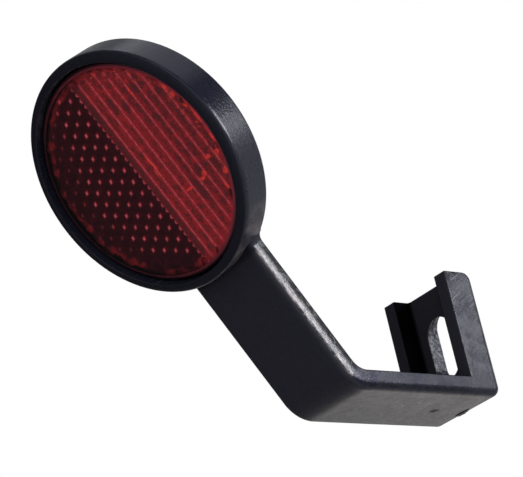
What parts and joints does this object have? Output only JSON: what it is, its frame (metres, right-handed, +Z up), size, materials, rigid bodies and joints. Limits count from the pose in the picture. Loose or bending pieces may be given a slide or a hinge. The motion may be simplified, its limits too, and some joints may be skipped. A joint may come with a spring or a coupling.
{
  "type": "bicycle rear reflector",
  "caption": "Round red prismatic reflector lens seated in a black moulded bracket: cup, flat arm, sloping leg and channel foot with a bolt slot.",
  "frame": {"origin": "on the flat bolting face at the back of the foot, above its slot and on the bracket's plane of symmetry", "axes": "+Z up with the lens upright, the lens faces -Y, +X to the side; the bolting face looks along +Y and down"},
  "size_m": [0.056, 0.0569, 0.1154],
  "materials": {
    "bracket_plastic": "satin black moulded plastic with a fine grain and light scuffs",
    "lens_plastic": "clear red acrylic, smooth in front, prisms behind"
  },
  "bodies": {
    "root": {"bracket": "bracket_plastic", "reflector_lens": "lens_plastic"}
  },
  "joints": []
}
